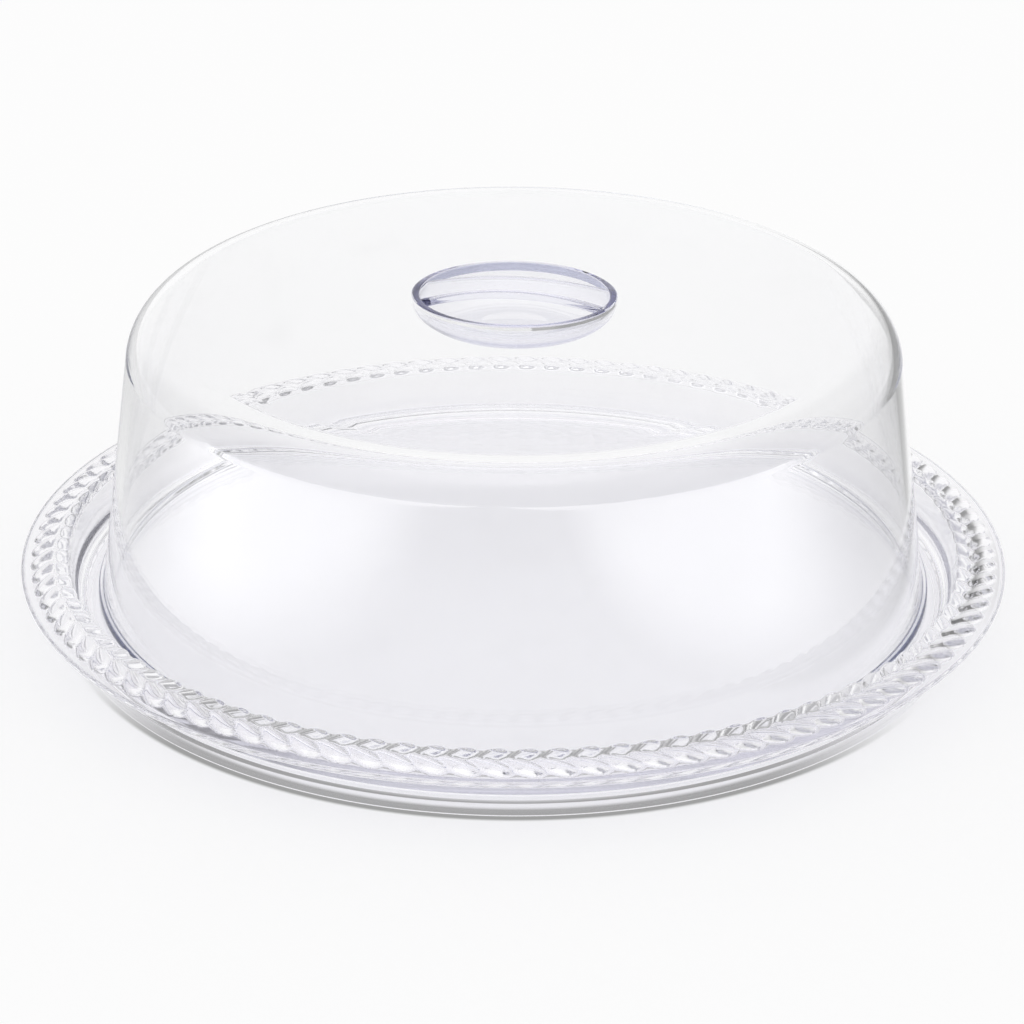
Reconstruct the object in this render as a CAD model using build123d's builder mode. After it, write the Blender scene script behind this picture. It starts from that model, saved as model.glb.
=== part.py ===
from build123d import *
from math import atan2, cos, degrees, radians, sin, sqrt, tan
import os

# Round cake keeper in clear acrylic: a tray with a braided rim, a lift-off dome
# and a recessed grip let into the top of the dome.
# Millimetres, +Z up. The origin is the middle of the foot ring, on the table.

# Tray: overall size
tray_diameter = 330.0
tray_wall = 2.8
rim_edge_height = 20.2
rim_edge_thickness = 2.6

# Tray: foot ring
foot_diameter = 299.6
foot_width = 3.6
foot_height = 4.9
foot_step = 0.8

# Tray: floor and the well wall that rises from it to the braided band
floor_height = 9.6
well_mouth_diameter = 299.0
well_foot_diameter = 292.0
crest_height = 23.2
cove_radius = 7.0
cove_facets = 2

# Braid: two rows of leaves that part from its middle line on the band
leaves_per_row = 100
braid_middle_diameter = 309.6
leaf_turn = 26.0
leaf_root = 0.3
leaf_width = 5.8
leaf_neck_rise = 1.0
leaf_belly_share = 0.6
outer_leaf_length = 14.2
outer_leaf_rise = 1.5
inner_leaf_length = 9.4
inner_leaf_rise = 1.3

# Dome
seat_gap = 0.3
dome_wall = 3.0
dome_base_diameter = 276.2
dome_draft = 6.55
dome_height = 103.0
crown_radius = 1050.0
crown_break_diameter = 130.0
shoulder_radius = 15.0
shoulder_facets = 3
bead_reach = 1.6
bead_height = 2.6

# Grip: an oval cup let into the dome and bridged by an arched bar
grip_length = 67.4
grip_width = 58.0
grip_end_radius = 26.2
grip_wall = 2.4
grip_rise = 0.5
grip_depth = 14.5
grip_collar = 4.2
grip_floor_length = 26.0
bowl_facets = 2
bond_gap = 0.15
bar_end_width = 17.4
bar_waist_width = 13.8
bar_thickness = 3.0
bar_end_drop = 0.8
bar_arch = 4.2

# Radii and heights that follow from the sizes above
tray_radius = tray_diameter / 2
foot_radius = foot_diameter / 2
well_mouth_radius = well_mouth_diameter / 2
well_foot_radius = well_foot_diameter / 2
underside_height = floor_height - tray_wall
band_fall = (crest_height - rim_edge_height) / (tray_radius - well_mouth_radius)
dome_foot_height = floor_height + seat_gap
dome_top_height = dome_foot_height + dome_height
dome_base_radius = dome_base_diameter / 2
crown_break_radius = crown_break_diameter / 2
braid_middle_radius = braid_middle_diameter / 2
grip_half = grip_length / 2


def faceted_round(before, corner, after, radius, facets):
    """Points along the round at a corner, which is turned as a few narrow cones."""
    path = FilletPolyline(before, corner, after, radius=radius, mode=Mode.PRIVATE)
    arc = path.edges().filter_by(GeomType.CIRCLE)[0]
    return [arc @ (step / facets) for step in range(facets + 1)]


# Tray body: one profile turned round the axis. It runs under the floor, round
# the foot ring, up behind the well wall, under the band and back over the top.
crest_corner = (well_mouth_radius, crest_height)
cove_corner = (well_foot_radius, floor_height)
floor_middle = (0, floor_height)
with BuildPart() as tray_body:
    with BuildSketch(Plane.XZ):
        with BuildLine():
            Polyline(
                (0, underside_height),
                (foot_radius - foot_width, underside_height),
                (foot_radius - foot_width, 0),
                (foot_radius, 0),
                (foot_radius, foot_height),
                (foot_radius - foot_step, foot_height + foot_step),
                (well_mouth_radius + tray_wall, crest_height - tray_wall),
                (tray_radius, rim_edge_height - rim_edge_thickness),
                (tray_radius, rim_edge_height),
                crest_corner,
                *faceted_round(crest_corner, cove_corner, floor_middle, cove_radius, cove_facets),
                floor_middle,
                close=True,
            )
        make_face()
    revolve(axis=Axis.Z)


def make_leaf(side, length, rise):
    """One leaf of the row outside the braid's middle line (side 1) or inside it (-1)."""
    reach = length * sin(radians(leaf_turn))
    drift = length * cos(radians(leaf_turn))
    half_width = leaf_width / 2 / sin(radians(leaf_turn))
    middle_height = crest_height - band_fall * (braid_middle_radius - well_mouth_radius)
    root = Vector(braid_middle_radius, 0, middle_height)
    outward = Vector(side, 0, -side * band_fall).normalized()
    upward = Vector(band_fall, 0, 1).normalized()
    sections = []
    for share, ridge in ((0, leaf_neck_rise), (leaf_belly_share, rise)):
        with BuildSketch(Plane(root + outward * reach * share, (0, side, 0), outward)) as section:
            with BuildLine():
                ridge_place = side * drift * share
                Polyline(
                    (ridge_place - half_width, -leaf_root),
                    (ridge_place, ridge),
                    (ridge_place + half_width, -leaf_root),
                    close=True,
                )
            make_face()
        sections.append(section.sketch)
    tip = root + outward * reach + Vector(0, drift, 0) - upward * leaf_root
    with BuildPart() as leaf:
        loft([*sections, Vertex(*tip)], ruled=True)
    return leaf.part


outer_leaf = make_leaf(1, outer_leaf_length, outer_leaf_rise)
inner_leaf = make_leaf(-1, inner_leaf_length, inner_leaf_rise)

# Tray: the body with its two rows of leaves moulded on
with BuildPart() as tray:
    add(tray_body)
    with PolarLocations(0, leaves_per_row):
        add([outer_leaf, inner_leaf])


def crown_height(radius):
    """Height of the dome's crown at a radius."""
    return dome_top_height - crown_radius + sqrt(crown_radius**2 - radius**2)


def draw_oval(outset, height):
    """The grip's oval at a height, set out or in: four arcs that run into each other."""
    end_centre = grip_half - grip_end_radius
    half_width = grip_width / 2
    side_radius = (end_centre**2 + half_width**2 - grip_end_radius**2) / (half_width - grip_end_radius) / 2
    side_centre = half_width - side_radius
    turn = degrees(atan2(-side_centre, end_centre))
    end_arc = grip_end_radius + outset
    side_arc = side_radius + outset
    with BuildSketch(Plane.XY.offset(height)) as oval:
        with BuildLine():
            CenterArc((end_centre, 0), end_arc, -turn, 2 * turn)
            CenterArc((0, side_centre), side_arc, turn, 180 - 2 * turn)
            CenterArc((-end_centre, 0), end_arc, 180 - turn, 2 * turn)
            CenterArc((0, -side_centre), side_arc, 180 + turn, 180 - 2 * turn)
        make_face()
    return oval.sketch


# Dome: a drafted wall, a round shoulder and a slightly crowned top, shelled from
# below, with a bead round its foot and an oval opening for the grip
shoulder_reach = dome_base_radius - dome_height * tan(radians(dome_draft))
dome_foot_corner = (dome_base_radius, dome_foot_height)
shoulder_corner = (shoulder_reach, crown_height(shoulder_reach))
crown_break = (crown_break_radius, crown_height(crown_break_radius))
shoulder = (dome_foot_corner, shoulder_corner, crown_break, shoulder_radius, shoulder_facets)
grip_opening = draw_oval(bond_gap, dome_top_height)
with BuildPart() as dome:
    with BuildSketch(Plane.XZ):
        with BuildLine():
            Polyline(
                (0, dome_foot_height),
                dome_foot_corner,
                *faceted_round(*shoulder),
                crown_break,
                (0, dome_top_height),
                close=True,
            )
        make_face()
    revolve(axis=Axis.Z)
    offset(amount=-dome_wall, openings=dome.faces().sort_by(Axis.Z)[0])
    with BuildSketch(Plane.XZ):
        with BuildLine():
            bead_lean = bead_height * tan(radians(dome_draft))
            Polyline(
                (dome_base_radius - dome_wall / 2, dome_foot_height),
                (dome_base_radius + bead_reach, dome_foot_height),
                (dome_base_radius + bead_reach - bead_lean, dome_foot_height + bead_height),
                (dome_base_radius - dome_wall / 2, dome_foot_height + bead_height),
                close=True,
            )
        make_face()
    revolve(axis=Axis.Z)
    extrude(grip_opening, amount=dome_wall * 2, both=True, mode=Mode.SUBTRACT)

# Grip: an oval cup whose sides draw in towards its floor in steps
grip_rim_height = crown_height(grip_half) + grip_rise
bend_height = grip_rim_height - grip_collar
bend_reach = grip_half - grip_floor_length / 2
bend_drop = grip_depth - grip_collar


def make_bowl(inset):
    """The bowl of the cup, or its hollow where it is set in by the wall."""
    reach = bend_reach - inset
    drop = bend_drop - inset
    sections = []
    for step in range(bowl_facets + 1):
        turned = radians(90 * step / bowl_facets)
        narrower = inset + reach * (1 - cos(turned))
        sections.append(draw_oval(-narrower, bend_height - drop * sin(turned)))
    with BuildPart() as bowl:
        for upper, lower in zip(sections, sections[1:]):
            loft([upper, lower], ruled=True)
    return bowl.part


outer_bowl = make_bowl(0)
inner_bowl = make_bowl(grip_wall)
outer_oval = draw_oval(0, bend_height)
inner_oval = draw_oval(-grip_wall, bend_height)
with BuildPart() as grip_cup:
    extrude(outer_oval, amount=grip_collar)
    add(outer_bowl)
    extrude(inner_oval, amount=grip_collar, mode=Mode.SUBTRACT)
    add(inner_bowl, mode=Mode.SUBTRACT)

# The bar across the cup: arched from end to end and waisted at its middle
bar_end_height = grip_rim_height - bar_end_drop
wall_middle_oval = draw_oval(-grip_wall / 2, bend_height)
with BuildPart() as grip_bar:
    with BuildSketch(Plane.XZ):
        with BuildLine():
            top_end = bar_end_height
            top_middle = bar_end_height + bar_arch
            under_end = top_end - bar_thickness
            under_middle = top_middle - bar_thickness
            top = ThreePointArc((-grip_half, top_end), (0, top_middle), (grip_half, top_end))
            under = ThreePointArc((-grip_half, under_end), (0, under_middle), (grip_half, under_end))
            Line(top @ 0, under @ 0)
            Line(top @ 1, under @ 1)
        make_face()
    extrude(amount=bar_end_width, both=True)
    with BuildSketch(Plane.XY.offset(bend_height)):
        with BuildLine():
            half_end = bar_end_width / 2
            half_waist = bar_waist_width / 2
            back = ThreePointArc((-grip_half, half_end), (0, half_waist), (grip_half, half_end))
            front = ThreePointArc((-grip_half, -half_end), (0, -half_waist), (grip_half, -half_end))
            Line(back @ 0, front @ 0)
            Line(back @ 1, front @ 1)
        make_face()
    extrude(amount=grip_length, both=True, mode=Mode.INTERSECT)
    extrude(wall_middle_oval, amount=grip_length, both=True, mode=Mode.INTERSECT)

with BuildPart() as grip:
    add([grip_cup, grip_bar])

tray.part.label = "tray"
dome.part.label = "dome"
grip.part.label = "grip"

os.makedirs("parts", exist_ok=True)
export_step(tray.part, "parts/tray.step")
export_step(dome.part, "parts/dome.step")
export_step(grip.part, "parts/grip.step")
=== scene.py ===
import bpy
import bmesh
import math
from mathutils import Matrix, Vector


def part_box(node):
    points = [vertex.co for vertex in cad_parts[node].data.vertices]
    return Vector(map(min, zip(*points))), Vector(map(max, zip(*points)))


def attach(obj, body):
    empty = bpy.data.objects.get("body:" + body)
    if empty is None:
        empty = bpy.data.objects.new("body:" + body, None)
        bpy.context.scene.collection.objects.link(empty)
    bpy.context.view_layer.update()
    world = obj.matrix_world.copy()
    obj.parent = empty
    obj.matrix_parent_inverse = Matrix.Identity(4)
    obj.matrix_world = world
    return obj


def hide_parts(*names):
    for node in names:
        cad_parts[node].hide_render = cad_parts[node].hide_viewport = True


# Round cake keeper in clear acrylic: a footed tray with a braided rim, a lift-off
# dome, and an oval cup with an arched bar let into the top of the dome as its grip.
# Metres, +Z up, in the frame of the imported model.
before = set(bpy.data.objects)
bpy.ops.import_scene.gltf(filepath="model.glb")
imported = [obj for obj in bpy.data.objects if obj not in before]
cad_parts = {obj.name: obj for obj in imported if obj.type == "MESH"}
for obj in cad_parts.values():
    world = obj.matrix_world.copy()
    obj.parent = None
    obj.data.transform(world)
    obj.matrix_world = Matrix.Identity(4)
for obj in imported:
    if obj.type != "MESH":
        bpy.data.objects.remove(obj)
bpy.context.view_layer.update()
tray_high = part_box("tray")[1]
dome_low, dome_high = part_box("dome")
grip_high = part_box("grip")[1]
MM = 0.001

# Places closer than this are one place
SAME_PLACE = 0.001 * MM

# Folds over these angles stay sharp in the shading, the second where two solids join
FOLD_ANGLE = math.radians(40)
JOINED_FOLD_ANGLE = math.radians(30)

# A straight stretch longer than this is held flat up to this distance from its rounds
LONG_EDGE = 3.4 * MM
HOLD_DISTANCE = 0.3 * MM

# A turned solid is one sector, copied round in stages of these numbers
LEAF_REPEATS = (5, 5, 4)
SMOOTH_REPEATS = (4, 4)

# Tray: rim, foot ring, well and the band that carries the braid
RIM_RADIUS = tray_high.x
RIM_EDGE_HEIGHT = 20.2 * MM
RIM_EDGE_THICKNESS = 2.6 * MM
CREST_RADIUS = 149.5 * MM
CREST_HEIGHT = 23.2 * MM
WELL_FOOT_RADIUS = 146.0 * MM
SEAT_GAP = 0.3 * MM
FLOOR_HEIGHT = dome_low.z - SEAT_GAP
TRAY_WALL = 2.8 * MM
FOOT_RADIUS = 149.8 * MM
FOOT_WIDTH = 3.6 * MM
FOOT_HEIGHT = 4.9 * MM
FOOT_STEP = 0.8 * MM

# Tray: its rounds, each a radius and a number of steps
UNDERSIDE_ROUND = (1.0 * MM, 2)
FOOT_INNER_ROUND = (0.4 * MM, 2)
FOOT_OUTER_ROUND = (1.2 * MM, 3)
FOOT_STEP_ROUND = (0.2 * MM, 1)
UNDER_BAND_ROUND = (0.5 * MM, 2)
RIM_LOWER_ROUND = (1.6 * MM, 4)
RIM_UPPER_ROUND = (0.5 * MM, 3)
CREST_ROUND = (0.4 * MM, 2)
COVE_ROUND = (7.0 * MM, 6)

# Braid: leaves in two rows that part from its middle line, each leaf with a length,
# a width and a rise; it is fuller towards its tip by the taper
LEAVES = math.prod(LEAF_REPEATS)
STEPS_PER_LEAF = 13
BAND_ROWS = 21
BRAID_MIDDLE_RADIUS = 154.0 * MM
BRAID_PARTING = 0.2 * MM
OUTER_LEAF = (14.6 * MM, 6.2 * MM, 1.6 * MM)
INNER_LEAF = (10.4 * MM, 5.8 * MM, 0.9 * MM)
LEAF_TURN = math.radians(26)
LEAF_TAPER = 0.25
LEAF_PLUMPNESS = 0.9
LEAF_BLEND = 5
LEAF_NEIGHBOURS = 2

# Inner leaves bulge over the crest and run out on the well wall below it
BAND_FALL = (CREST_HEIGHT - RIM_EDGE_HEIGHT) / (RIM_RADIUS - CREST_RADIUS)
WALL_REACH = 3.0 * MM
WALL_ROWS = 3
CREST_TURN = 2.5 * MM
CREST_LEAN = 0.5

# Dome
DOME_WALL = 3.0 * MM
DOME_BASE_RADIUS = 138.1 * MM
DOME_DRAFT = math.radians(6.55)
DOME_TOP = 112.9 * MM
DOME_SECTOR_STEPS = 30
CROWN_RADIUS = 1050.0 * MM
CROWN_FADE_RADIUS = 75.0 * MM
CROWN_EDGE_INSET = 2.0 * MM
CROWN_ROWS = 24
SHOULDER_RADIUS = 15.0 * MM
SHOULDER_STEPS = 20
BEAD_REACH = dome_high.x - DOME_BASE_RADIUS
BEAD_HEIGHT = 2.6 * MM
BEAD_FOOT_ROUND = (0.5 * MM, 3)
BEAD_TOP_ROUND = (0.7 * MM, 4)
BEAD_INNER_ROUND = (0.5 * MM, 3)

# Grip: the oval cup
GRIP_HALF = grip_high.x
GRIP_HALF_WIDTH = grip_high.y
GRIP_RIM_HEIGHT = 112.86 * MM
GRIP_WALL = 2.4 * MM
GRIP_COLLAR = 4.2 * MM
GRIP_DEPTH = 14.5 * MM
GRIP_FLOOR_HALF = 13.0 * MM
GRIP_BEND_HEIGHT = GRIP_RIM_HEIGHT - GRIP_COLLAR
GRIP_SECTOR_STEPS = 16
BOWL_STEPS = 16
CUP_RIM_ROUND = (0.7 * MM, 5)

# Grip: the dome's opening round the cup
BOND_GAP = 0.15 * MM
OPENING_HALF = GRIP_HALF + BOND_GAP
OPENING_HALF_WIDTH = GRIP_HALF_WIDTH + BOND_GAP

# Grip: the arched bar
BAR_END_WIDTH = 17.4 * MM
BAR_WAIST_WIDTH = 13.8 * MM
BAR_THICKNESS = 3.0 * MM
BAR_END_DROP = 0.8 * MM
BAR_ARCH = 4.2 * MM
BAR_ROUND = (0.9 * MM, 5)
BAR_CUTS = 47

# Acrylic: the melt's soft flow, faint patches of haze, and the light it lets through
ACRYLIC_IOR = 1.49
FLOW_HEIGHT = 0.012 * MM
FLOW_DETAIL = 1.0
HAZE_DETAIL = 3.0
HAZE_PATCHES = (0.55, 0.75)
HAZE_ROUGHNESS = 0.03
HAZE_TINT = 0.985
LIGHT_PASSED = (0.93, 0.93, 0.95)

# Light is followed this far, because the tray guides it along its thin floor
INNER_BOUNCES = 400
DIFFUSE_BOUNCES = 2

# Camera: its lens in pixels of a picture this wide, its distance, and its turns in
# radians, all fitted to the photograph
FOCAL_PIXELS = 4170.8
PICTURE_PIXELS = 1024
SENSOR_WIDTH = 36.0
CAMERA_DISTANCE = 1.4158
CAMERA_ELEVATION = 0.458304
CAMERA_PAN = 0.000346
CAMERA_TILT = -0.021507
CAMERA_ROLL = -0.00488
CAMERA_TURN = math.radians(6)
CAMERA_RANGE = 20.0

# Floor: a white card that glows a little. SEEN is how the camera sees it and THROUGH
# how it shows through the acrylic, each with a share of glow and the glow's level
FLOOR_SIZE = 12.0
FLOOR_WHITE = 0.95
SEEN_SHARE = 0.5
SEEN_LEVEL = 1.1
THROUGH_SHARE = 0.5
THROUGH_LEVEL = 1.04

# Floor: painted shadow, a dark ring where the front of the foot stands, between these radii
CONTACT_SHADOW_LEVEL = 0.35
CONTACT_SHADOW_INSIDE = (0.1410, 0.1440)
CONTACT_SHADOW_OUTSIDE = (0.1506, 0.1528)
CONTACT_SHADOW_FRONT = (-0.05, -0.12)

# Floor: shaded from here to the right where it shows through the acrylic
CARD_SHADE = (0.155, 0.175)
CARD_SHADE_LEVEL = 0.35

# Floor as the acrylic mirrors it: dim far in front, bright beside, dim behind
MIRROR_LEVEL = 1.0
MIRROR_FRONT_LEVEL = 0.05
MIRROR_FRONT = (-0.55, -0.38)
SIDE_GLOW = 3.2
SIDE_DIM = -0.6
GLOW_LEFT = (-0.12, -0.30)
GLOW_RIGHT = (0.14, 0.30)
GLOW_DEPTH = (0.05, -0.15)

# Room: white, and dim on the camera's side. Each turn is given as two cosines,
# where a change starts and where it is complete
ROOM_FRONT = 0.05
ROOM_FRONT_THROUGH = 0.4
ROOM_FRONT_TURN = (0.5, 0.85)

# Room: shaded at the right where it shows through the acrylic
ROOM_SHADE = 0.85
ROOM_SHADE_TURN = (0.1, 0.5)

# Room as the acrylic mirrors it: dimmer at both sides and brighter overhead
ROOM_SIDES = -0.5
ROOM_SIDES_TURN = (0.6, 0.9)
ROOM_ABOVE = 0.4
ROOM_ABOVE_TURN = (0.75, 0.9)


def crown_height(radius, inset=0.0):
    """Height of the dome's crown over a radius; inset is the wall for its inner face."""
    return DOME_TOP - CROWN_RADIUS + math.sqrt((CROWN_RADIUS - inset) ** 2 - radius ** 2)


def draw_outline(bm, outline):
    """Draws a closed outline of (radius, height) corners as one face."""
    bm.faces.new([bm.verts.new((radius, 0, height)) for radius, height in outline])


def corner_at(bm, place):
    """The corner of a drawn outline that is nearest to a (radius, height) place."""
    return min(bm.verts, key=lambda vert: math.hypot(vert.co.x - place[0], vert.co.z - place[1]))


def only_corners(geometry):
    """The corners in a mixed list of corners, edges and faces."""
    return [item for item in geometry if isinstance(item, bmesh.types.BMVert)]


def round_corner(bm, place, rounding):
    """Rounds the corner at a place of a drawn outline to a radius, in a number of steps."""
    radius, steps = rounding
    corner = corner_at(bm, place)
    first, second = (edge.other_vert(corner).co - corner.co for edge in corner.link_edges)
    reach = radius / math.tan(first.angle(second) / 2)
    bmesh.ops.bevel(
        bm, geom=[corner], offset=reach, offset_type="OFFSET", affect="VERTICES",
        segments=steps, profile=0.5, material=-1,
    )


def hold_straight(bm):
    """Puts a corner close to each end of a long edge, so that shading is flat between them."""
    for edge in [edge for edge in bm.edges if edge.calc_length() > LONG_EDGE]:
        near, far = edge.verts
        held = bmesh.utils.edge_split(edge, near, HOLD_DISTANCE / edge.calc_length())[1]
        rest = next(edge for edge in held.link_edges if far in edge.verts)
        bmesh.utils.edge_split(rest, far, HOLD_DISTANCE / rest.calc_length())


def turn_sector(bm, repeats, steps):
    """Turns the drawn outline round Z through the one sector that is repeated."""
    hold_straight(bm)
    bmesh.ops.delete(bm, geom=bm.faces[:], context="FACES_ONLY")
    on_axis = [edge for edge in bm.edges if all(abs(vert.co.x) < SAME_PLACE for vert in edge.verts)]
    bmesh.ops.delete(bm, geom=on_axis, context="EDGES")
    bmesh.ops.spin(
        bm, geom=bm.verts[:] + bm.edges[:], cent=(0, 0, 0), axis=(0, 0, 1),
        angle=math.tau / math.prod(repeats), steps=steps,
    )


def complete_round(bm, repeats):
    """Copies a sector round Z, times over for each number of repeats, and closes the solid."""
    angle = math.tau / math.prod(repeats)
    for count in repeats:
        sector = bm.verts[:] + bm.edges[:] + bm.faces[:]
        for copy in range(1, count):
            moved = only_corners(bmesh.ops.duplicate(bm, geom=sector)["geom"])
            turned = Matrix.Rotation(copy * angle, 3, "Z")
            bmesh.ops.rotate(bm, verts=moved, cent=(0, 0, 0), matrix=turned)
        angle *= count
    bmesh.ops.remove_doubles(bm, verts=bm.verts[:], dist=SAME_PLACE)
    bmesh.ops.recalc_face_normals(bm, faces=bm.faces[:])


def finish_mesh(bm, name, fold_angle=FOLD_ANGLE):
    """Turns a bmesh into a smooth-shaded object whose folds over the angle stay sharp."""
    for face in bm.faces:
        face.smooth = True
    for edge in bm.edges:
        edge.smooth = len(edge.link_faces) != 2 or edge.calc_face_angle() < fold_angle
    mesh = bpy.data.meshes.new(name)
    bm.to_mesh(mesh)
    bm.free()
    piece = bpy.data.objects.new(name, mesh)
    bpy.context.scene.collection.objects.link(piece)
    return piece


def leaf_rise(out, around, side, leaf):
    """Height of one plump leaf at a place on the band, from the root of its row."""
    length, width, rise = leaf
    out_of_middle = side * out - BRAID_PARTING - length / 2 * math.sin(LEAF_TURN)
    along = (around * math.cos(LEAF_TURN) + out_of_middle * math.sin(LEAF_TURN)) / (length / 2)
    across = (out_of_middle * math.cos(LEAF_TURN) - around * math.sin(LEAF_TURN)) / (width / 2)
    if abs(along) >= 1:
        return 0.0
    fullness = math.sqrt(1 - along ** 2) * (1 + LEAF_TAPER * along)
    inside = 1 - (across / fullness) ** 2
    if inside <= 0:
        return 0.0
    return rise * fullness * inside ** LEAF_PLUMPNESS


def braid_rise(out, angle):
    """Height of the braid over the band at a way out from its middle, where leaves blend."""
    pitch = math.tau / LEAVES
    nearest = round(angle / pitch)
    total = 0.0
    for leaf in range(nearest - LEAF_NEIGHBOURS, nearest + LEAF_NEIGHBOURS + 1):
        around = (angle - leaf * pitch) * BRAID_MIDDLE_RADIUS
        for side, shape in ((1, OUTER_LEAF), (-1, INNER_LEAF)):
            total += (leaf_rise(out, around, side, shape) / MM) ** LEAF_BLEND
    return total ** (1 / LEAF_BLEND) * MM


def raise_braid(bm):
    """Lifts the leaves out of the band, the crest and the top of the well wall."""
    along_band = math.hypot(BAND_FALL, 1)
    for vert in bm.verts:
        radius = math.hypot(vert.co.x, vert.co.y)
        on_wall = radius < CREST_RADIUS + HOLD_DISTANCE
        if on_wall:
            lowest = CREST_HEIGHT - WALL_REACH
        else:
            lowest = CREST_HEIGHT - BAND_FALL * (radius - CREST_RADIUS) - HOLD_DISTANCE
        if not (CREST_RADIUS - MM < radius < RIM_RADIUS) or vert.co.z < lowest:
            continue
        out = (max(radius, CREST_RADIUS) - BRAID_MIDDLE_RADIUS) * along_band
        if on_wall:
            out -= CREST_HEIGHT - vert.co.z
        angle = math.atan2(vert.co.y, vert.co.x)
        lean = min(1, max(0, (CREST_RADIUS + CREST_TURN - radius) / CREST_TURN))
        outward = Vector((BAND_FALL * (1 - lean) - CREST_LEAN * lean, 0, 1)).normalized()
        vert.co += Matrix.Rotation(angle, 3, "Z") @ outward * braid_rise(out, angle)


def make_tray():
    """The tray: turned from its profile, with the braid raised on its band."""
    underside = FLOOR_HEIGHT - TRAY_WALL
    wall_lean = (CREST_RADIUS - WELL_FOOT_RADIUS) / (CREST_HEIGHT - FLOOR_HEIGHT)
    outline = [
        (0, underside),
        (FOOT_RADIUS - FOOT_WIDTH, underside),
        (FOOT_RADIUS - FOOT_WIDTH, 0),
        (FOOT_RADIUS, 0),
        (FOOT_RADIUS, FOOT_HEIGHT),
        (FOOT_RADIUS - FOOT_STEP, FOOT_HEIGHT + FOOT_STEP),
        (CREST_RADIUS + TRAY_WALL, CREST_HEIGHT - TRAY_WALL),
        (RIM_RADIUS, RIM_EDGE_HEIGHT - RIM_EDGE_THICKNESS),
        (RIM_RADIUS, RIM_EDGE_HEIGHT),
        (CREST_RADIUS, CREST_HEIGHT),
        (CREST_RADIUS - wall_lean * WALL_REACH, CREST_HEIGHT - WALL_REACH),
        (WELL_FOOT_RADIUS, FLOOR_HEIGHT),
        (0, FLOOR_HEIGHT),
    ]
    underside_bend, foot_inner, foot_outer, step, waist = outline[1:6]
    under_band, rim_lower, rim_upper, crest, wall_top, cove = outline[6:12]
    bm = bmesh.new()
    draw_outline(bm, outline)

    # The band and the top of the wall are cut into rows while their ends are still plain
    round_corner(bm, rim_upper, RIM_UPPER_ROUND)
    round_corner(bm, crest, CREST_ROUND)
    rim_level = RIM_EDGE_HEIGHT - MM
    on_top = [edge for edge in bm.edges if min(vert.co.z for vert in edge.verts) > rim_level]
    band = max(on_top, key=lambda edge: edge.calc_length())
    wall_corner = corner_at(bm, wall_top)
    wall = max(wall_corner.link_edges, key=lambda edge: edge.other_vert(wall_corner).co.z)
    bmesh.ops.subdivide_edges(bm, edges=[band], cuts=BAND_ROWS)
    bmesh.ops.subdivide_edges(bm, edges=[wall], cuts=WALL_ROWS)
    for corner, rounding in (
        (underside_bend, UNDERSIDE_ROUND),
        (foot_inner, FOOT_INNER_ROUND),
        (foot_outer, FOOT_OUTER_ROUND),
        (step, FOOT_STEP_ROUND),
        (waist, FOOT_STEP_ROUND),
        (under_band, UNDER_BAND_ROUND),
        (rim_lower, RIM_LOWER_ROUND),
        (cove, COVE_ROUND),
    ):
        round_corner(bm, corner, rounding)
    turn_sector(bm, LEAF_REPEATS, STEPS_PER_LEAF)
    raise_braid(bm)
    complete_round(bm, LEAF_REPEATS)
    return finish_mesh(bm, "clear_tray")


def draw_in_crown(bm):
    """Draws the middle of the crown in, from a round opening to the grip's oval."""
    for vert in bm.verts:
        radius = math.hypot(vert.co.x, vert.co.y)
        if radius > CROWN_FADE_RADIUS - SAME_PLACE:
            continue
        angle = math.atan2(vert.co.y, vert.co.x)
        depth = crown_height(radius) - vert.co.z
        oval = 1 / math.hypot(math.cos(angle) / OPENING_HALF, math.sin(angle) / OPENING_HALF_WIDTH)
        closer = (CROWN_FADE_RADIUS - oval) / (CROWN_FADE_RADIUS - OPENING_HALF)
        drawn = oval + (radius - OPENING_HALF) * closer
        vert.co.x *= drawn / radius
        vert.co.y *= drawn / radius
        vert.co.z = crown_height(drawn) - depth


def make_dome():
    """The dome: a shell turned from its profile, with an oval opening for the grip."""
    lean = math.tan(DOME_DRAFT)
    foot = dome_low.z
    shoulder = DOME_BASE_RADIUS - (DOME_TOP - foot) * lean
    inner_shift = DOME_WALL / math.cos(DOME_DRAFT)
    inner_shoulder = shoulder - inner_shift + DOME_WALL * lean
    crown_width = shoulder - SHOULDER_RADIUS - CROWN_EDGE_INSET - OPENING_HALF
    crown_radii = [OPENING_HALF + crown_width * row / CROWN_ROWS for row in range(CROWN_ROWS + 1)]
    outline = [
        (DOME_BASE_RADIUS - inner_shift, foot),
        (DOME_BASE_RADIUS + BEAD_REACH, foot),
        (DOME_BASE_RADIUS + BEAD_REACH - BEAD_HEIGHT * lean, foot + BEAD_HEIGHT),
        (DOME_BASE_RADIUS - BEAD_HEIGHT * lean, foot + BEAD_HEIGHT),
        (shoulder, crown_height(shoulder)),
        *((radius, crown_height(radius)) for radius in reversed(crown_radii)),
        *((radius, crown_height(radius, DOME_WALL)) for radius in crown_radii),
        (inner_shoulder, crown_height(inner_shoulder, DOME_WALL)),
    ]
    bead_foot, bead_top, bead_inner, shoulder_corner = outline[1:5]
    bm = bmesh.new()
    draw_outline(bm, outline)
    round_corner(bm, shoulder_corner, (SHOULDER_RADIUS, SHOULDER_STEPS))
    round_corner(bm, outline[-1], (SHOULDER_RADIUS - DOME_WALL, SHOULDER_STEPS))
    round_corner(bm, bead_foot, BEAD_FOOT_ROUND)
    round_corner(bm, bead_top, BEAD_TOP_ROUND)
    round_corner(bm, bead_inner, BEAD_INNER_ROUND)
    turn_sector(bm, SMOOTH_REPEATS, DOME_SECTOR_STEPS)
    complete_round(bm, SMOOTH_REPEATS)
    draw_in_crown(bm)
    return finish_mesh(bm, "clear_dome")


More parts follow.
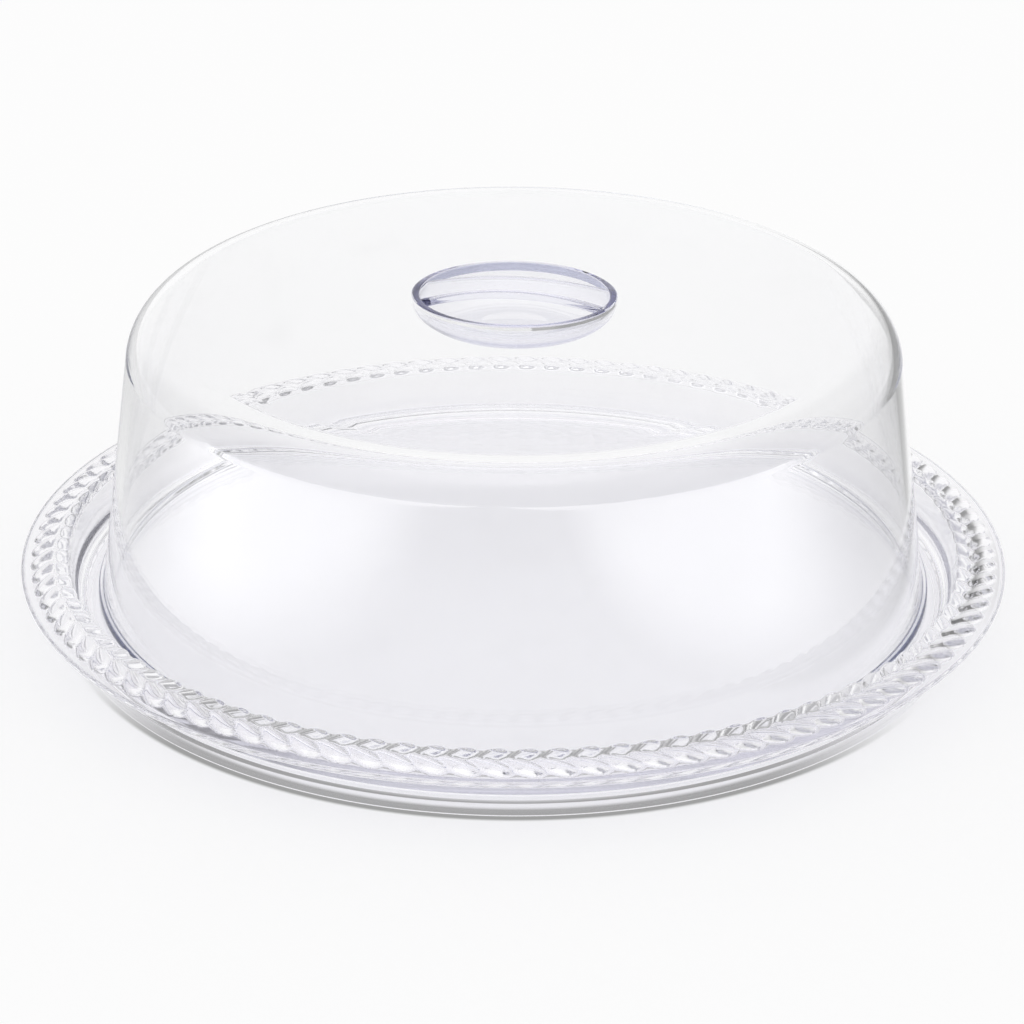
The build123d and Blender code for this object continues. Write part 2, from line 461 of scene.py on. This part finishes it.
def bowl_arc(inset):
    """Places down the side of the cup's bowl, set in by a wall for its hollow."""
    reach = GRIP_HALF - GRIP_FLOOR_HALF - inset
    drop = GRIP_DEPTH - GRIP_COLLAR - inset
    quarter = [math.pi / 2 * step / BOWL_STEPS for step in range(BOWL_STEPS + 1)]
    return [
        (GRIP_FLOOR_HALF + reach * math.cos(turned), GRIP_BEND_HEIGHT - drop * math.sin(turned))
        for turned in quarter
    ]


def make_cup():
    """The grip's oval cup: turned as a round one, then drawn in across its width."""
    outer = bowl_arc(0.0)
    inner = bowl_arc(GRIP_WALL)
    rim = [(GRIP_HALF - GRIP_WALL, GRIP_RIM_HEIGHT), (GRIP_HALF, GRIP_RIM_HEIGHT)]
    floor = [(0, outer[-1][1]), (0, inner[-1][1])]
    bm = bmesh.new()
    draw_outline(bm, [*rim, *outer, *floor, *reversed(inner)])
    for corner in rim:
        round_corner(bm, corner, CUP_RIM_ROUND)
    turn_sector(bm, SMOOTH_REPEATS, GRIP_SECTOR_STEPS)
    complete_round(bm, SMOOTH_REPEATS)
    bmesh.ops.scale(bm, vec=(1, GRIP_HALF_WIDTH / GRIP_HALF, 1), verts=bm.verts[:])
    return finish_mesh(bm, "clear_grip")


def make_bar():
    """The bar: arched along X, waisted at its middle and ending inside the cup's wall."""
    half = GRIP_HALF - GRIP_WALL / 2
    half_width = GRIP_HALF_WIDTH - GRIP_WALL / 2
    corners = [
        (side * BAR_END_WIDTH / 2, level * BAR_THICKNESS / 2)
        for side, level in ((-1, -1), (1, -1), (1, 1), (-1, 1))
    ]
    bm = bmesh.new()
    draw_outline(bm, corners)
    for corner in corners:
        round_corner(bm, corner, BAR_ROUND)
    hold_straight(bm)

    # The section is drawn out from -1 to 1, turned along X and cut into rows
    bmesh.ops.translate(bm, verts=bm.verts[:], vec=(0, -1, 0))
    far_end = only_corners(bmesh.ops.extrude_face_region(bm, geom=bm.faces[:])["geom"])
    bmesh.ops.translate(bm, verts=far_end, vec=(0, 2, 0))
    quarter_turn = Matrix.Rotation(math.pi / 2, 3, "Z")
    bmesh.ops.rotate(bm, verts=bm.verts[:], cent=(0, 0, 0), matrix=quarter_turn)
    bmesh.ops.recalc_face_normals(bm, faces=bm.faces[:])
    long_edges = [edge for edge in bm.edges if abs(edge.verts[0].co.x - edge.verts[1].co.x) > 1]
    bmesh.ops.subdivide_edges(bm, edges=long_edges, cuts=BAR_CUTS, use_grid_fill=True)
    for vert in bm.verts:
        share = vert.co.x
        vert.co.y *= 1 - (1 - BAR_WAIST_WIDTH / BAR_END_WIDTH) * (1 - share ** 2)
        vert.co.x = share * half * math.sqrt(1 - (vert.co.y / half_width) ** 2)
        vert.co.z += GRIP_RIM_HEIGHT - BAR_END_DROP - BAR_THICKNESS / 2 + BAR_ARCH * (1 - share ** 2)

    # Both ends are curved now, and the join needs flat faces
    bmesh.ops.triangulate(bm, faces=[face for face in bm.faces if len(face.verts) > 4])
    return finish_mesh(bm, "bar")


def join_solids(piece, other):
    """Makes one closed solid of two that run into each other."""
    modifier = piece.modifiers.new("join", "BOOLEAN")
    modifier.operation = "UNION"
    modifier.solver = "EXACT"
    modifier.object = other
    joined = bmesh.new()
    joined.from_object(piece, bpy.context.evaluated_depsgraph_get())
    piece.modifiers.clear()
    name = piece.name
    for old in (piece, other):
        bpy.data.objects.remove(old)
    return finish_mesh(joined, name, JOINED_FOLD_ANGLE)


def add_math(tree, kind, *values):
    """Adds a Math node of a kind, with its inputs as values or as sockets to read."""
    node = tree.nodes.new("ShaderNodeMath")
    node.operation = kind
    for socket, value in zip(node.inputs, values):
        if isinstance(value, float):
            socket.default_value = value
        else:
            tree.links.new(value, socket)
    return node.outputs[0]


def add_ramp(tree, source, start, end, first, last):
    """Adds a smooth Map Range from start to end that gives first to last."""
    node = tree.nodes.new("ShaderNodeMapRange")
    node.interpolation_type = "SMOOTHSTEP"
    for name, value in (("From Min", start), ("From Max", end), ("To Min", first), ("To Max", last)):
        node.inputs[name].default_value = value
    tree.links.new(source, node.inputs["Value"])
    return node.outputs["Result"]


def mix_surface(tree, share, first, second):
    """Makes a material's surface of two shaders, with a share of the second."""
    mix = tree.nodes.new("ShaderNodeMixShader")
    for socket, source in zip(mix.inputs, (share, first, second)):
        tree.links.new(source, socket)
    tree.links.new(mix.outputs[0], tree.nodes["Material Output"].inputs["Surface"])


def make_moulding_marks():
    """Shared by the acrylics: soft flow of the melt as a height, and faint haze as a mask."""
    group = bpy.data.node_groups.new("moulding_marks", "ShaderNodeTree")
    for way, names in (("INPUT", ("Flow Scale", "Haze Scale")), ("OUTPUT", ("Flow", "Haze"))):
        for name in names:
            group.interface.new_socket(name, in_out=way, socket_type="NodeSocketFloat")
    given = group.nodes.new("NodeGroupInput")
    result = group.nodes.new("NodeGroupOutput")
    place = group.nodes.new("ShaderNodeTexCoord")
    flow = group.nodes.new("ShaderNodeTexNoise")
    haze = group.nodes.new("ShaderNodeTexNoise")
    for noise, scale, detail in ((flow, "Flow Scale", FLOW_DETAIL), (haze, "Haze Scale", HAZE_DETAIL)):
        noise.inputs["Detail"].default_value = detail
        group.links.new(place.outputs["Object"], noise.inputs["Vector"])
        group.links.new(given.outputs[scale], noise.inputs["Scale"])
    patches = add_ramp(group, haze.outputs["Fac"], *HAZE_PATCHES, 0.0, 1.0)
    group.links.new(flow.outputs["Fac"], result.inputs["Flow"])
    group.links.new(patches, result.inputs["Haze"])
    return group


def make_acrylic(name, tint, depth_colour, depth, flow_scale, haze_scale):
    """Clear moulded acrylic: polished, with a faint tint that deepens through its thickness."""
    material = bpy.data.materials.new(name)
    material.use_nodes = True
    tree = material.node_tree
    shader = tree.nodes["Principled BSDF"]
    shader.inputs["Transmission Weight"].default_value = 1.0
    shader.inputs["IOR"].default_value = ACRYLIC_IOR
    marks = tree.nodes.new("ShaderNodeGroup")
    marks.node_tree = moulding_marks
    marks.inputs["Flow Scale"].default_value = flow_scale
    marks.inputs["Haze Scale"].default_value = haze_scale
    hazed = add_math(tree, "MULTIPLY", marks.outputs["Haze"], HAZE_ROUGHNESS)
    tree.links.new(hazed, shader.inputs["Roughness"])
    colour = tree.nodes.new("ShaderNodeMix")
    colour.data_type = "RGBA"
    colour.inputs["A"].default_value = (*tint, 1)
    colour.inputs["B"].default_value = (*(HAZE_TINT * part for part in tint), 1)
    tree.links.new(marks.outputs["Haze"], colour.inputs["Factor"])
    tree.links.new(colour.outputs["Result"], shader.inputs["Base Color"])
    bump = tree.nodes.new("ShaderNodeBump")
    bump.inputs["Strength"].default_value = 1.0
    bump.inputs["Distance"].default_value = FLOW_HEIGHT
    tree.links.new(marks.outputs["Flow"], bump.inputs["Height"])
    tree.links.new(bump.outputs["Normal"], shader.inputs["Normal"])

    # Shadows and soft light pass straight through
    let_through = tree.nodes.new("ShaderNodeBsdfTransparent")
    let_through.inputs["Color"].default_value = (*LIGHT_PASSED, 1)
    path = tree.nodes.new("ShaderNodeLightPath")
    soft = add_math(tree, "MAXIMUM", path.outputs["Is Shadow Ray"], path.outputs["Is Diffuse Ray"])
    mix_surface(tree, soft, shader.outputs[0], let_through.outputs[0])
    volume = tree.nodes.new("ShaderNodeVolumeAbsorption")
    volume.inputs["Color"].default_value = (*depth_colour, 1)
    volume.inputs["Density"].default_value = depth
    tree.links.new(volume.outputs["Volume"], tree.nodes["Material Output"].inputs["Volume"])
    return material


def turn_pair(first, second, angle):
    """Turns two directions at a right angle towards each other's place."""
    cosine = math.cos(angle)
    sine = math.sin(angle)
    return cosine * first + sine * second, -sine * first + cosine * second


def place_camera():
    """The camera, at the photograph's height, distance and lens."""
    forward = Vector((0, math.cos(CAMERA_ELEVATION), -math.sin(CAMERA_ELEVATION)))
    right = Vector((1, 0, 0))
    up = Vector((0, math.sin(CAMERA_ELEVATION), math.cos(CAMERA_ELEVATION)))
    place = -forward * CAMERA_DISTANCE
    right, forward = turn_pair(right, forward, CAMERA_PAN)
    up, forward = turn_pair(up, forward, CAMERA_TILT)
    right, up = turn_pair(right, up, -CAMERA_ROLL)
    data = bpy.data.cameras.new("camera")
    data.sensor_width = SENSOR_WIDTH
    data.sensor_fit = "HORIZONTAL"
    data.lens = FOCAL_PIXELS / PICTURE_PIXELS * SENSOR_WIDTH
    data.clip_end = CAMERA_RANGE
    camera = bpy.data.objects.new("camera", data)
    pose = Matrix((right, up, -forward)).transposed().to_4x4()
    pose.translation = place
    camera.matrix_world = Matrix.Rotation(CAMERA_TURN, 4, "Z") @ pose
    bpy.context.scene.collection.objects.link(camera)
    bpy.context.scene.camera = camera


def make_floor_material():
    """White card, with a glow of its own for what the acrylic mirrors and lets through."""
    material = bpy.data.materials.new("floor")
    material.use_nodes = True
    tree = material.node_tree
    card = tree.nodes["Principled BSDF"]
    card.inputs["Roughness"].default_value = 1.0
    card.inputs["Specular IOR Level"].default_value = 0.0
    card.inputs["Base Color"].default_value = (FLOOR_WHITE, FLOOR_WHITE, FLOOR_WHITE, 1)
    path = tree.nodes.new("ShaderNodeLightPath")
    camera_ray = path.outputs["Is Camera Ray"]
    through_ray = path.outputs["Is Transmission Ray"]
    mirror_ray = add_math(tree, "MULTIPLY", path.outputs["Is Glossy Ray"], path.outputs["Is Reflection Ray"])
    place = tree.nodes.new("ShaderNodeTexCoord")
    axes = tree.nodes.new("ShaderNodeSeparateXYZ")
    distance = tree.nodes.new("ShaderNodeVectorMath")
    distance.operation = "LENGTH"
    for reader in (axes, distance):
        tree.links.new(place.outputs["Object"], reader.inputs[0])
    across = axes.outputs["X"]
    back = axes.outputs["Y"]
    radius = distance.outputs["Value"]

    # Masks: the painted contact shadow in a ring under the front of the foot, and the painted shade at the
    # right
    under_foot = add_ramp(tree, radius, *CONTACT_SHADOW_INSIDE, 0.0, 1.0)
    past_foot = add_ramp(tree, radius, *CONTACT_SHADOW_OUTSIDE, 1.0, 0.0)
    at_front = add_ramp(tree, back, *CONTACT_SHADOW_FRONT, 0.0, 1.0)
    contact_shadow = add_math(tree, "MULTIPLY", under_foot, past_foot)
    contact_shadow = add_math(tree, "MULTIPLY", contact_shadow, at_front)
    shaded = add_ramp(tree, across, *CARD_SHADE, 0.0, 1.0)
    shade_level = add_ramp(tree, across, *CARD_SHADE, 1.0, CARD_SHADE_LEVEL)

    # Level of the glow for each kind of ray
    # The painted contact shadow dims the glow that the camera sees and that shows through the acrylic
    seen_card = add_math(tree, "MULTIPLY_ADD", contact_shadow, CONTACT_SHADOW_LEVEL - SEEN_LEVEL, SEEN_LEVEL)
    level = add_math(tree, "MULTIPLY", camera_ray, seen_card)
    open_card = add_math(tree, "MULTIPLY_ADD", contact_shadow, CONTACT_SHADOW_LEVEL - THROUGH_LEVEL, THROUGH_LEVEL)
    open_card = add_math(tree, "MULTIPLY", open_card, shade_level)
    level = add_math(tree, "MULTIPLY_ADD", through_ray, open_card, level)
    in_front = add_ramp(tree, back, *MIRROR_FRONT, MIRROR_FRONT_LEVEL, MIRROR_LEVEL)
    left = add_ramp(tree, across, *GLOW_LEFT, 0.0, 1.0)
    right = add_ramp(tree, across, *GLOW_RIGHT, 0.0, 1.0)
    sides = add_math(tree, "ADD", left, right)
    beside = add_ramp(tree, back, *GLOW_DEPTH, SIDE_DIM, SIDE_GLOW)
    mirrored_card = add_math(tree, "MULTIPLY_ADD", sides, beside, in_front)
    mirrored = add_math(tree, "MULTIPLY", mirror_ray, mirrored_card)
    level = add_math(tree, "ADD", level, mirrored)
    glow = tree.nodes.new("ShaderNodeEmission")
    tree.links.new(level, glow.inputs["Strength"])

    # Share of the glow for each kind of ray
    # In the painted contact shadow, and for rays through the acrylic in the painted shade at the right, the
    # glow takes the whole share
    seen_share = add_math(tree, "MULTIPLY_ADD", contact_shadow, 1.0 - SEEN_SHARE, SEEN_SHARE)
    share = add_math(tree, "MULTIPLY_ADD", camera_ray, seen_share, mirror_ray)
    covered = add_math(tree, "MAXIMUM", contact_shadow, shaded)
    open_share = add_math(tree, "MULTIPLY_ADD", covered, 1.0 - THROUGH_SHARE, THROUGH_SHARE)
    share = add_math(tree, "MULTIPLY_ADD", through_ray, open_share, share)
    mix_surface(tree, share, card.outputs[0], glow.outputs[0])
    return material


def place_floor():
    """A plain white floor under the part."""
    bpy.ops.mesh.primitive_plane_add(size=FLOOR_SIZE)
    floor = bpy.context.object
    floor.name = "floor"
    floor.data.materials.append(make_floor_material())


def place_room():
    """A white room round the part, dim on the camera's side."""
    world = bpy.data.worlds.new("room")
    bpy.context.scene.world = world
    world.use_nodes = True
    tree = world.node_tree
    path = tree.nodes.new("ShaderNodeLightPath")
    through_ray = path.outputs["Is Transmission Ray"]
    place = tree.nodes.new("ShaderNodeTexCoord")
    axes = tree.nodes.new("ShaderNodeSeparateXYZ")
    facing = tree.nodes.new("ShaderNodeVectorMath")
    facing.operation = "DOT_PRODUCT"
    facing.inputs[1].default_value = (math.sin(CAMERA_TURN), -math.cos(CAMERA_TURN), 0.0)
    for reader in (axes, facing):
        tree.links.new(place.outputs["Generated"], reader.inputs[0])
    across = axes.outputs["X"]

    # White away from the camera's side, less so at the right for rays through the acrylic
    white = add_ramp(tree, facing.outputs["Value"], *ROOM_FRONT_TURN, 1.0, 0.0)
    behind_camera = add_math(tree, "SUBTRACT", 1.0, white)
    dim = add_math(tree, "MULTIPLY_ADD", through_ray, ROOM_FRONT_THROUGH - ROOM_FRONT, ROOM_FRONT)
    shade = add_ramp(tree, across, *ROOM_SHADE_TURN, 0.0, ROOM_SHADE)
    shade = add_math(tree, "MULTIPLY", shade, through_ray)
    kept = add_math(tree, "SUBTRACT", 1.0, shade)
    white = add_math(tree, "MULTIPLY", white, kept)
    room = add_math(tree, "MULTIPLY_ADD", behind_camera, dim, white)

    # Sides and overhead for mirrored rays; plain white for the camera
    sides = add_ramp(tree, add_math(tree, "ABSOLUTE", across), *ROOM_SIDES_TURN, 0.0, ROOM_SIDES)
    above = add_ramp(tree, axes.outputs["Z"], *ROOM_ABOVE_TURN, 0.0, ROOM_ABOVE)
    panels = add_math(tree, "ADD", sides, above)
    lit = add_math(tree, "MULTIPLY_ADD", panels, path.outputs["Is Glossy Ray"], room)
    level = add_math(tree, "MAXIMUM", lit, path.outputs["Is Camera Ray"])
    background = tree.nodes["Background"]
    background.inputs["Color"].default_value = (1, 1, 1, 1)
    tree.links.new(level, background.inputs["Strength"])


def set_picture():
    """Plain colours, and light followed far enough through the acrylic."""
    scene = bpy.context.scene
    scene.view_settings.view_transform = "Standard"
    scene.cycles.max_bounces = INNER_BOUNCES
    scene.cycles.glossy_bounces = INNER_BOUNCES
    scene.cycles.transmission_bounces = INNER_BOUNCES
    scene.cycles.diffuse_bounces = DIFFUSE_BOUNCES


moulding_marks = make_moulding_marks()

tray = make_tray()
tray_acrylic = make_acrylic(
    "tray_acrylic", tint=(0.985, 0.98, 0.997), depth_colour=(0.4, 0.4, 0.53), depth=2.8,
    flow_scale=25.0, haze_scale=60.0,
)
tray.data.materials.append(tray_acrylic)
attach(tray, "tray")
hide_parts("tray")

dome = make_dome()
dome_acrylic = make_acrylic(
    "dome_acrylic", tint=(1.0, 1.0, 1.0), depth_colour=(0.2, 0.25, 0.5), depth=3.0,
    flow_scale=15.0, haze_scale=40.0,
)
dome.data.materials.append(dome_acrylic)
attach(dome, "lid")
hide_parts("dome")

grip = join_solids(make_cup(), make_bar())
grip_acrylic = make_acrylic(
    "grip_acrylic", tint=(0.97, 0.97, 0.99), depth_colour=(0.25, 0.25, 0.55), depth=10.0,
    flow_scale=25.0, haze_scale=90.0,
)
grip.data.materials.append(grip_acrylic)
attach(grip, "lid")
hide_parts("grip")

place_camera()
place_floor()
place_room()
set_picture()
